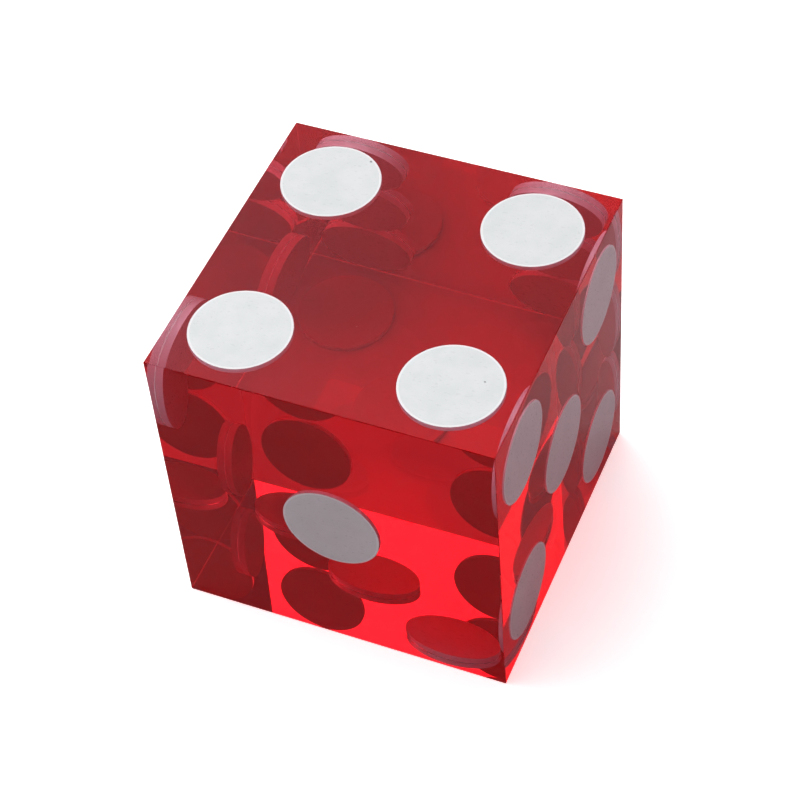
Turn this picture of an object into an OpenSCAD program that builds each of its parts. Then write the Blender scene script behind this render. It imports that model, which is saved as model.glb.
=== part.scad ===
// Casino die: a clear red block with true square edges, drilled on all six
// faces, with a white plug set flush in every pocket. The four is on top (+Z)
// and the three below, the one is in front (-Y) and the six behind, the five
// is on the right (+X) and the two on the left. Opposite faces add up to
// seven, and one, two and three run anticlockwise about their shared corner.
// The origin is under the block's centre, on the plane that it stands on.

/* [Body] */
// Length of each side of the block
side = 19.05; // [19.05:0.05:19.65]
// Depth of the fine flat that breaks each edge
edge_break = 0.03; // [0.02:0.01:0.2]

/* [Pips] */
// Diameter of each pip
pip_d = 5.5; // [4.5:0.1:5.6]
// Depth of each drilled pocket, which its pip fills
pip_depth = 0.45; // [0.3:0.05:0.8]
// Distance of the outer pips from a face's two middle lines
pip_pitch = 5.8; // [5.7:0.05:5.9]

/* [Hidden] */
$fn = 96;
half = side / 2;
overcut = 1;

// The turn that carries the top face to each face. A place on a face is then
// told as steps of the pitch to the right and up, with the face seen squarely.
TOP = [0, 0, 0];
BOTTOM = [180, 0, 0];
FRONT = [90, 0, 0];
RIGHT = [90, 0, 90];
BACK = [90, 0, 180];
LEFT = [90, 0, 270];

// Every pip: its name, the turn to its face, and its place on the face
PIPS = [
    ["one_pip_centre", FRONT, [0, 0]],
    ["two_pip_top_front", LEFT, [1, 1]],
    ["two_pip_bottom_back", LEFT, [-1, -1]],
    ["three_pip_front_right", BOTTOM, [1, 1]],
    ["three_pip_centre", BOTTOM, [0, 0]],
    ["three_pip_back_left", BOTTOM, [-1, -1]],
    ["four_pip_back_right", TOP, [1, 1]],
    ["four_pip_back_left", TOP, [-1, 1]],
    ["four_pip_front_right", TOP, [1, -1]],
    ["four_pip_front_left", TOP, [-1, -1]],
    ["five_pip_top_back", RIGHT, [1, 1]],
    ["five_pip_top_front", RIGHT, [-1, 1]],
    ["five_pip_centre", RIGHT, [0, 0]],
    ["five_pip_bottom_back", RIGHT, [1, -1]],
    ["five_pip_bottom_front", RIGHT, [-1, -1]],
    ["six_pip_top_left", BACK, [1, 1]],
    ["six_pip_middle_left", BACK, [1, 0]],
    ["six_pip_bottom_left", BACK, [1, -1]],
    ["six_pip_top_right", BACK, [-1, 1]],
    ["six_pip_middle_right", BACK, [-1, 0]],
    ["six_pip_bottom_right", BACK, [-1, -1]],
];

// Carries its children from the top face's centre to one pip's place
module at_pip(p) {
    translate([0, 0, half])
        rotate(p[1])
            translate([pip_pitch * p[2][0], pip_pitch * p[2][1], half])
                children();
}

// A bar of the block's section, as long as the block, with its four long
// edges broken
module broken_bar() {
    flat = half - edge_break;
    linear_extrude(side, center = true)
        polygon([
            [half, -flat], [half, flat], [flat, half], [-flat, half],
            [-half, flat], [-half, -flat], [-flat, -half], [flat, -half],
        ]);
}

// The cut block, with all twelve edges broken alike
module block() {
    translate([0, 0, half])
        intersection() {
            broken_bar();
            rotate([90, 0, 0]) broken_bar();
            rotate([0, 90, 0]) broken_bar();
        }
}

// The drill's cut for one pip: flat-bottomed, and open at the face
module pocket() {
    translate([0, 0, -pip_depth])
        cylinder(d = pip_d, h = pip_depth + overcut);
}

// The transparent body, with a pocket for every pip
module acetate_body() {
    color("crimson", 0.6)
        difference() {
            block();
            for (p = PIPS) at_pip(p) pocket();
        }
}

// One white plug, which fills its pocket and is ground flush with the face
module pip() {
    color("white")
        translate([0, 0, -pip_depth])
            cylinder(d = pip_d, h = pip_depth);
}

acetate_body();
for (p = PIPS)
    at_pip(p) pip();
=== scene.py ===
"""A casino die: a clear red acetate cube with 21 white resin pips, on a pale table under soft light."""

import math

import bmesh
import bpy
from mathutils import Matrix, Vector


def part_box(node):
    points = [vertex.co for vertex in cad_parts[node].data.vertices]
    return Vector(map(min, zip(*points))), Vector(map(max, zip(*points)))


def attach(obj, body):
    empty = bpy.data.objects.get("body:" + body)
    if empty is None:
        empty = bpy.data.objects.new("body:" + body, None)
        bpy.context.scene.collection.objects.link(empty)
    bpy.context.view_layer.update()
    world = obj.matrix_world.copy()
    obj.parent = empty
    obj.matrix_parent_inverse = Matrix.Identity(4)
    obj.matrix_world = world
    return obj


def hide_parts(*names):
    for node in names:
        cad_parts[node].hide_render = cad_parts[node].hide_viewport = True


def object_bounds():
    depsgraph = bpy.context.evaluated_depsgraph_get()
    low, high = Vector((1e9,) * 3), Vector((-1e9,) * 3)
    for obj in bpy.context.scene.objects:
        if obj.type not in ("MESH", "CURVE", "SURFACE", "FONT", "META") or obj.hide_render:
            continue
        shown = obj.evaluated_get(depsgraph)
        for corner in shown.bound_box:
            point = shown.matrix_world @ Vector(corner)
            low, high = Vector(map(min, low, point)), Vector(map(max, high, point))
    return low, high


MM = 0.001

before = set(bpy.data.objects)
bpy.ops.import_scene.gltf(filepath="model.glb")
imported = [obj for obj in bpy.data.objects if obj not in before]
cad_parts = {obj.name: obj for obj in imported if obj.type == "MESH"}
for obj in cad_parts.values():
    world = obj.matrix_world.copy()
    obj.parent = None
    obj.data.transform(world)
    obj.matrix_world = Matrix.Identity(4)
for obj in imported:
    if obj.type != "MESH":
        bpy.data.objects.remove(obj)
cad_low, cad_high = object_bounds()
centre = (cad_low + cad_high) / 2

BODY_NODE = "acetate_body"
PIP_NODES = sorted(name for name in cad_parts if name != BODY_NODE)

# A plug reaches a hair past its pocket's walls, so that light inside the block meets resin and
# never an air gap. Its rim is slightly broken, and a narrow ring of its open face is painted
# paler, a painted highlight along the plug's edge.
WETTING = 0.012 * MM
RIM_DROP = 0.035 * MM
RIM_WIDTH = 0.1 * MM
PIP_SEGMENTS = 128
FLAT = 1e-7

# Clear red acetate: how much red, green and blue each millimetre takes away, how it bends light,
# and the slight red of its surface and of its shine
ACETATE_LOSS_PER_MM = (0.002, 0.19, 0.162)
ACETATE_IOR = 1.485
ACETATE_SURFACE = (1.0, 0.8, 0.86, 1.0)
ACETATE_SHEEN = (1.0, 0.45, 0.56, 1.0)

# What polishing leaves on it: shallow waves, soft smears and a few dull specks. A pair named
# NOISE, here and below, is the stretch of the noise over which its effect comes up.
WAVE_SIZE = 4.5 * MM
WAVE_DEPTH = 0.0035 * MM
SMEAR_SIZE = 1.6 * MM
SMEAR_STRETCH = (1.0, 2.6, 1.4)
SMEAR_NOISE = (0.5, 0.75)
SMEAR_ROUGHNESS = 0.035
SPECK_SPACING = 1.5 * MM
SPECK_SHARE = 0.2
SPECK_RADII = (0.025 * MM, 0.06 * MM)
SPECK_ROUGHNESS = 0.35

# White resin: its clouds from shade to light, the painted highlight of its rim, the painted pink
# light on its walls and the painted shade on its back, its pinholes, darkened with painted shade,
# and its lapping marks. The picking step is how sharply a cell with a speck is told from one without.
RESIN_IOR = 1.5
RESIN_SHADE = (0.66, 0.7, 0.705)
RESIN_LIGHT = (0.7, 0.735, 0.745)
CLOUD_SIZE = 1.3 * MM
CLOUD_NOISE = (0.35, 0.65)
# The rim's pale tone is a painted highlight.
RIM_PAINTED_HIGHLIGHT = (0.8, 0.81, 0.82)
# The wall's lighter pink is painted light.
WALL_PAINTED_PINK_LIGHT = (0.96, 0.76, 0.85)
# The back's dark red is painted shade.
BACK_PAINTED_SHADE = (0.78, 0.44, 0.53)
# The pinholes' dark tone is painted shade in their pits.
PINHOLE_PAINTED_SHADE = (0.3, 0.32, 0.34)
PINHOLE_SPACING = 1.05 * MM
PINHOLE_SHARE = 0.13
PINHOLE_RADII = (0.047 * MM, 0.089 * MM)
PINHOLE_DEPTH = 0.03 * MM
PICKING_STEP = 0.01
LAPPING_SIZE = 0.14 * MM
LAPPING_STRETCH = (2.2, 1.0, 1.0)
LAPPING_NOISE = (0.3, 0.7)
LAPPING_ROUGHNESS = (0.26, 0.38)
LAPPING_DEPTH = 0.0005 * MM

# Each face of a plug keeps its skin: the open face, its rim, the wall or the back
SKIN = "skin"
SKIN_FACE, SKIN_RIM, SKIN_WALL, SKIN_BACK = 0.0, 1.0, 2.0, 3.0

# The lights. A fade is the two angles off the aim, in degrees, between which a light comes up.
UP = (0, 0, 1)
LIGHT_AIM = (-0.55, 0.15, 0.82)
LIGHT_TINT = (0.955, 1.0, 0.99)
LIGHT_LEVEL = 1.2
LIGHT_FADE = (52, 43)
LIGHT_CORE = 1.8
CORE_FADE = (36, 5)
ROOM_TINT = (1.0, 0.9, 0.94)
ROOM_LEVEL = 0.11
WALL_LEVEL = 0.45
WALL_FADE = (84, 72)
BOUNCE_AIM = (1.0, -0.1, 0.1)
BOUNCE_TINT = (1.0, 0.22, 0.3)
BOUNCE_LEVEL = 0.32
BOUNCE_FADE = (80, 35)
BACKDROP_LEVEL = 1.4

# The table as the die reflects and lets it through, a painted shade: its tone under the die, with a
# painted red glow, and its darker painted shade past it, the distances from the middle between which
# the one gives way to the other, and what the camera sees of it
# Seen by the die, the table is a shaded copy: under the die a pink mid tone, painted shade with a painted
# red glow.
TABLE_UNDER_PAINTED_SHADE_AND_GLOW = (0.82, 0.68, 0.72)
# Past the die's foot the table takes a darker painted shade.
TABLE_PAST_PAINTED_SHADE = (0.46, 0.42, 0.44)
TABLE_TURNS = (8.5 * MM, 14 * MM)
TABLE_WHITE = (0.95, 0.95, 0.95)
TABLE_GLOW = 0.45
TABLE_RADIUS = 0.7
TABLE_SIDES = 96
TABLE_GAP = 0.03 * MM

# The camera: degrees round from the front, up, and rolled, and how far from the die's centre
EYE_AZIMUTH, EYE_ELEVATION, EYE_ROLL = 26.5, 48.5, -5.4
EYE_AWAY = 128 * MM
LENS_MM, SENSOR_MM = 105, 36
NEAREST_SEEN, FARTHEST_SEEN = 0.005, 5

# The picture's tone, and how often light may cross the block, glance off it and scatter
EXPOSURE, GAMMA = 0.2, 0.85
CROSSINGS, GLANCES, SCATTERS = 32, 16, 8


# ---------------------------------------------------------------- materials


def new_material(name):
    """An empty node material, its tree and its output."""
    material = bpy.data.materials.new(name)
    material.use_nodes = True
    tree = material.node_tree
    tree.nodes.clear()
    output = tree.nodes.new("ShaderNodeOutputMaterial")
    return material, tree, output


def pattern(tree, kind, size, stretch=(1, 1, 1), **settings):
    """A texture over Object coordinates, with features about size across, drawn out by stretch."""
    place = tree.nodes.new("ShaderNodeTexCoord")
    fit = tree.nodes.new("ShaderNodeMapping")
    fit.inputs["Scale"].default_value = [1 / (size * s) for s in stretch]
    texture = tree.nodes.new(kind)
    texture.inputs["Scale"].default_value = 1.0
    for name, value in settings.items():
        texture.inputs[name].default_value = value
    tree.links.new(place.outputs["Object"], fit.inputs["Vector"])
    tree.links.new(fit.outputs["Vector"], texture.inputs["Vector"])
    return texture


def ranged(tree, source, start, end, low, high, interpolation="LINEAR"):
    """A source carried from one range to another, and held at its ends."""
    fit = tree.nodes.new("ShaderNodeMapRange")
    fit.interpolation_type = interpolation
    for name, value in zip(("From Min", "From Max", "To Min", "To Max"), (start, end, low, high)):
        fit.inputs[name].default_value = value
    tree.links.new(source, fit.inputs["Value"])
    return fit.outputs["Result"]


def colour_socket(sockets, name):
    """The colour socket of a name, since a mix node has one of that name for each kind of value."""
    return next(s for s in sockets if s.name == name and s.type == "RGBA")


def blended(tree, share, first, second):
    """A colour mixed from two, each a colour or a socket, by the share of the second."""
    mix = tree.nodes.new("ShaderNodeMix")
    mix.data_type = "RGBA"
    tree.links.new(share, mix.inputs["Factor"])
    for name, colour in (("A", first), ("B", second)):
        socket = colour_socket(mix.inputs, name)
        if isinstance(colour, tuple):
            socket.default_value = (*colour, 1.0)
        else:
            tree.links.new(colour, socket)
    return colour_socket(mix.outputs, "Result")


def worked_out(tree, operation, first, second):
    """Two sockets put together by a sum, a product or another operation of arithmetic."""
    step = tree.nodes.new("ShaderNodeMath")
    step.operation = operation
    tree.links.new(first, step.inputs[0])
    tree.links.new(second, step.inputs[1])
    return step.outputs["Value"]


def specks(tree, spacing, share, radii):
    """Round specks, one at the middle of a share of the cells, fading from an inner to an outer radius."""
    inner, outer = radii
    cells = pattern(tree, "ShaderNodeTexVoronoi", spacing, Randomness=1.0)
    channel = tree.nodes.new("ShaderNodeSeparateColor")
    tree.links.new(cells.outputs["Color"], channel.inputs["Color"])
    chosen = ranged(tree, channel.outputs["Red"], 1 - share, 1 - share + PICKING_STEP, 0.0, 1.0)
    near = ranged(tree, cells.outputs["Distance"], inner / spacing, outer / spacing, 1.0, 0.0)
    return worked_out(tree, "MULTIPLY", chosen, near)


def relief(tree, height, depth, under=None):
    """A bump of the given depth in metres, over another if one is given."""
    bump = tree.nodes.new("ShaderNodeBump")
    bump.inputs["Strength"].default_value = 1.0
    bump.inputs["Distance"].default_value = depth
    tree.links.new(height, bump.inputs["Height"])
    if under is not None:
        tree.links.new(under, bump.inputs["Normal"])
    return bump.outputs["Normal"]


def joined(tree, kind, first, second, share=None):
    """Two shaders added, or mixed by a share of the second."""
    join = tree.nodes.new(kind)
    if share is not None:
        tree.links.new(share, join.inputs["Fac"])
    tree.links.new(first, join.inputs[-2])
    tree.links.new(second, join.inputs[-1])
    return join.outputs["Shader"]


def red_acetate():
    """Clear red acetate, lapped flat and polished, with a dye that takes light away by depth."""
    material, tree, output = new_material("red_acetate")
    gloss = tree.nodes.new("ShaderNodeBsdfPrincipled")
    gloss.inputs["Base Color"].default_value = ACETATE_SURFACE
    gloss.inputs["Transmission Weight"].default_value = 1.0
    gloss.inputs["IOR"].default_value = ACETATE_IOR
    gloss.inputs["Specular Tint"].default_value = ACETATE_SHEEN

    waves = pattern(tree, "ShaderNodeTexNoise", WAVE_SIZE, Detail=1.0, Roughness=0.4)
    tree.links.new(relief(tree, waves.outputs["Fac"], WAVE_DEPTH), gloss.inputs["Normal"])
    smears = pattern(tree, "ShaderNodeTexNoise", SMEAR_SIZE, SMEAR_STRETCH, Detail=3.0, Roughness=0.6)
    smeared = ranged(tree, smears.outputs["Fac"], *SMEAR_NOISE, 0.0, SMEAR_ROUGHNESS)
    dots = specks(tree, SPECK_SPACING, SPECK_SHARE, SPECK_RADII)
    specked = ranged(tree, dots, 0.0, 1.0, 0.0, SPECK_ROUGHNESS)
    tree.links.new(worked_out(tree, "ADD", smeared, specked), gloss.inputs["Roughness"])
    tree.links.new(gloss.outputs["BSDF"], output.inputs["Surface"])

    density = max(ACETATE_LOSS_PER_MM) / MM
    dye = tree.nodes.new("ShaderNodeVolumeAbsorption")
    dye.inputs["Density"].default_value = density
    kept = [1 - loss / MM / density for loss in ACETATE_LOSS_PER_MM]
    dye.inputs["Color"].default_value = (*kept, 1.0)
    tree.links.new(dye.outputs["Volume"], output.inputs["Volume"])
    return material


def resin_colour(tree, pinholes, skin):
    """The resin's colour: clouded and pinholed where it is open, the pinholes darkened with painted shade,
    and plain on rim, wall and back: a painted highlight on the rim, painted pink light on the wall and
    painted shade on the back.
    """
    clouds = pattern(tree, "ShaderNodeTexNoise", CLOUD_SIZE, Detail=4.0, Roughness=0.6)
    cloudy = ranged(tree, clouds.outputs["Fac"], *CLOUD_NOISE, 0.0, 1.0)
    colour = blended(tree, pinholes, blended(tree, cloudy, RESIN_SHADE, RESIN_LIGHT), PINHOLE_PAINTED_SHADE)
    steps = (
        (SKIN_FACE, SKIN_RIM, RIM_PAINTED_HIGHLIGHT),
        (SKIN_RIM, SKIN_WALL, WALL_PAINTED_PINK_LIGHT),
        (SKIN_WALL, SKIN_BACK, BACK_PAINTED_SHADE),
    )
    for before, here, shade in steps:
        colour = blended(tree, ranged(tree, skin, before, here, 0.0, 1.0), colour, shade)
    return colour


def white_resin():
    """Opaque white resin: faint clouds, fine lapping marks and a few pinholes."""
    material, tree, output = new_material("white_resin")
    gloss = tree.nodes.new("ShaderNodeBsdfPrincipled")
    gloss.inputs["IOR"].default_value = RESIN_IOR
    attribute = tree.nodes.new("ShaderNodeAttribute")
    attribute.attribute_name = SKIN
    skin = attribute.outputs["Fac"]
    pinholes = specks(tree, PINHOLE_SPACING, PINHOLE_SHARE, PINHOLE_RADII)
    tree.links.new(resin_colour(tree, pinholes, skin), gloss.inputs["Base Color"])

    lapping = pattern(tree, "ShaderNodeTexNoise", LAPPING_SIZE, LAPPING_STRETCH, Detail=2.0, Roughness=0.5)
    lapped = lapping.outputs["Fac"]
    tree.links.new(ranged(tree, lapped, *LAPPING_NOISE, *LAPPING_ROUGHNESS), gloss.inputs["Roughness"])
    at_face = ranged(tree, skin, SKIN_FACE, SKIN_RIM, 1.0, 0.0)
    marks = relief(tree, worked_out(tree, "MULTIPLY", lapped, at_face), LAPPING_DEPTH)
    open_pinholes = worked_out(tree, "MULTIPLY", pinholes, at_face)
    pits = relief(tree, ranged(tree, open_pinholes, 0.0, 1.0, 1.0, 0.0), PINHOLE_DEPTH, under=marks)
    tree.links.new(pits, gloss.inputs["Normal"])
    tree.links.new(gloss.outputs["BSDF"], output.inputs["Surface"])
    return material


def table_paper():
    """The matte table: pale to look at, and in what the die reflects and lets through a painted shade,
    a mid tone with a painted red glow under the die that deepens past the die's foot into a painted
    shadow, as among other things on a table."""
    material, tree, output = new_material("pale_table")
    seen = tree.nodes.new("ShaderNodeBsdfDiffuse")
    seen.inputs["Color"].default_value = (*TABLE_WHITE, 1.0)
    glow = tree.nodes.new("ShaderNodeEmission")
    glow.inputs["Strength"].default_value = TABLE_GLOW
    pale = joined(tree, "ShaderNodeAddShader", seen.outputs["BSDF"], glow.outputs["Emission"])

    place = tree.nodes.new("ShaderNodeTexCoord")
    past = tree.nodes.new("ShaderNodeVectorMath")
    past.operation = "LENGTH"
    tree.links.new(place.outputs["Object"], past.inputs[0])
    # What the die reflects and lets through gets painted shade, pink with a painted red glow under the die
    # and deeper past its foot.
    turned = ranged(tree, past.outputs["Value"], *TABLE_TURNS, 0.0, 1.0)
    lit = tree.nodes.new("ShaderNodeBsdfDiffuse")
    tree.links.new(blended(tree, turned, TABLE_UNDER_PAINTED_SHADE_AND_GLOW, TABLE_PAST_PAINTED_SHADE), lit.inputs["Color"])

    to_eye = tree.nodes.new("ShaderNodeLightPath").outputs["Is Camera Ray"]
    shown = joined(tree, "ShaderNodeMixShader", lit.outputs["BSDF"], pale, to_eye)
    tree.links.new(shown, output.inputs["Surface"])
    return material


# ------------------------------------------------------------------- pieces


def finished(name, mesh_maker, material):
    """A mesh object at the origin, with its place in its mesh."""
    mesh = bpy.data.meshes.new(name)
    mesh_maker.to_mesh(mesh)
    mesh_maker.free()
    mesh.materials.append(material)
    piece = bpy.data.objects.new(name, mesh)
    bpy.context.scene.collection.objects.link(piece)
    return piece


def outward_axis(low, high):
    """The outward normal of the face that a pip is set in, which is its thin way, and its depth."""
    size = high - low
    thin = min(range(3), key=lambda i: size[i])
    normal = Vector((0, 0, 0))
    normal[thin] = 1 if (low + high)[thin] / 2 > centre[thin] else -1
    return normal, size[thin]


def mark_skins(plug, depth):
    """Parts a rim, painted paler as a highlight, from the open face, and notes the skin of every face of a
    plug.
    """
    skin = plug.faces.layers.float.new(SKIN)
    top = [face for face in plug.faces if abs(face.calc_center_median().z) < FLAT]
    bmesh.ops.inset_region(plug, faces=top, thickness=RIM_WIDTH)
    for face in plug.faces:
        height = face.calc_center_median().z
        face[skin] = SKIN_RIM if height > -RIM_DROP else SKIN_BACK if height < -depth else SKIN_WALL
    for face in top:
        face[skin] = SKIN_FACE


def pip_plug(node, material):
    """One resin plug, flush with its face and reaching just past its pocket."""
    low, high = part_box(node)
    normal, depth = outward_axis(low, high)
    radius = max(high - low) / 2
    face_centre = (low + high) / 2 + normal * depth / 2

    plug = bmesh.new()
    bmesh.ops.create_cone(
        plug, cap_ends=True, segments=PIP_SEGMENTS,
        radius1=radius + WETTING, radius2=radius + WETTING, depth=depth + WETTING,
    )
    bmesh.ops.translate(plug, verts=plug.verts, vec=(0, 0, -(depth + WETTING) / 2))
    rim = [edge for edge in plug.edges if all(abs(v.co.z) < FLAT for v in edge.verts)]
    bmesh.ops.bevel(
        plug, geom=rim, offset=RIM_DROP, offset_type="OFFSET",
        affect="EDGES", segments=2, profile=0.5, material=-1,
    )
    mark_skins(plug, depth)
    turn = Vector(UP).rotation_difference(normal).to_matrix().to_4x4()
    bmesh.ops.transform(plug, matrix=Matrix.Translation(face_centre) @ turn, verts=plug.verts)
    bmesh.ops.recalc_face_normals(plug, faces=plug.faces)

    piece = finished("resin_" + node, plug, material)
    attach(piece, "root")
    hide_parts(node)
    return piece


# ------------------------------------------------------------ stage and light


def table_top(material):
    """The plain table that the die stands on."""
    top = bmesh.new()
    bmesh.ops.create_circle(top, cap_ends=True, segments=TABLE_SIDES, radius=TABLE_RADIUS)
    bmesh.ops.translate(top, verts=top.verts, vec=(0, 0, cad_low.z - TABLE_GAP))
    table = finished("pale_table", top, material)
    return table


def sky_light(tree, tint, aim, fade, start_level, end_level):
    """One tinted light in the sky, whose level changes over the fade's two angles off its aim."""
    place = tree.nodes.new("ShaderNodeTexCoord")
    facing = tree.nodes.new("ShaderNodeVectorMath")
    facing.operation = "DOT_PRODUCT"
    facing.inputs[1].default_value = Vector(aim).normalized()
    tree.links.new(place.outputs["Generated"], facing.inputs[0])
    start, end = (math.cos(math.radians(angle)) for angle in fade)
    level = ranged(tree, facing.outputs["Value"], start, end, start_level, end_level, "SMOOTHSTEP")
    light = tree.nodes.new("ShaderNodeBackground")
    light.inputs["Color"].default_value = (*tint, 1.0)
    tree.links.new(level, light.inputs["Strength"])
    return light.outputs["Background"]


def soft_sky():
    """A dim room with pale walls, one big soft light up on the left that is brighter towards its
    middle, and a faint red bounce from the right. The camera sees a white backdrop instead."""
    world = bpy.data.worlds.new("soft_light")
    bpy.context.scene.world = world
    world.use_nodes = True
    tree = world.node_tree
    tree.nodes.clear()
    output = tree.nodes.new("ShaderNodeOutputWorld")
    light = sky_light(tree, LIGHT_TINT, LIGHT_AIM, LIGHT_FADE, 0, LIGHT_LEVEL)
    others = (
        sky_light(tree, LIGHT_TINT, LIGHT_AIM, CORE_FADE, 0, LIGHT_CORE),
        sky_light(tree, ROOM_TINT, UP, WALL_FADE, WALL_LEVEL, ROOM_LEVEL),
        sky_light(tree, BOUNCE_TINT, BOUNCE_AIM, BOUNCE_FADE, 0, BOUNCE_LEVEL),
    )
    for other in others:
        light = joined(tree, "ShaderNodeAddShader", light, other)
    backdrop = tree.nodes.new("ShaderNodeBackground")
    backdrop.inputs["Strength"].default_value = BACKDROP_LEVEL
    to_eye = tree.nodes.new("ShaderNodeLightPath").outputs["Is Camera Ray"]
    shown = joined(tree, "ShaderNodeMixShader", light, backdrop.outputs["Background"], to_eye)
    tree.links.new(shown, output.inputs["Surface"])
    return world


def camera():
    """The view from in front, to the right and above, with the die filling most of the frame."""
    azimuth, elevation = math.radians(EYE_AZIMUTH), math.radians(EYE_ELEVATION)
    back = Vector((
        math.sin(azimuth) * math.cos(elevation),
        -math.cos(azimuth) * math.cos(elevation),
        math.sin(elevation),
    ))
    lens = bpy.data.cameras.new("camera")
    lens.lens = LENS_MM
    lens.sensor_width = SENSOR_MM
    lens.clip_start, lens.clip_end = NEAREST_SEEN, FARTHEST_SEEN
    eye = bpy.data.objects.new("camera", lens)
    turn = (-back).to_track_quat("-Z", "Y").to_matrix().to_4x4()
    roll = Matrix.Rotation(math.radians(EYE_ROLL), 4, "Z")
    eye.matrix_world = Matrix.Translation(centre + back * EYE_AWAY) @ turn @ roll
    bpy.context.scene.collection.objects.link(eye)
    bpy.context.scene.camera = eye
    return eye


def picture_settings():
    """Enough bounces for light to cross the block many times, and plain colour."""
    scene = bpy.context.scene
    scene.view_settings.view_transform = "Standard"
    scene.view_settings.look = "None"
    scene.view_settings.exposure = EXPOSURE
    scene.view_settings.gamma = GAMMA
    scene.cycles.max_bounces = CROSSINGS
    scene.cycles.transmission_bounces = CROSSINGS
    scene.cycles.glossy_bounces = GLANCES
    scene.cycles.diffuse_bounces = SCATTERS
    scene.cycles.caustics_refractive = True
    scene.cycles.caustics_reflective = True
    scene.cycles.use_denoising = True
    scene.cycles.sampling_pattern = "TABULATED_SOBOL"


# --------------------------------------------------------------------- build

camera()
soft_sky()
picture_settings()
table_top(table_paper())

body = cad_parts[BODY_NODE]
body.data.materials.clear()
body.data.materials.append(red_acetate())

resin = white_resin()
for node in PIP_NODES:
    pip_plug(node, resin)
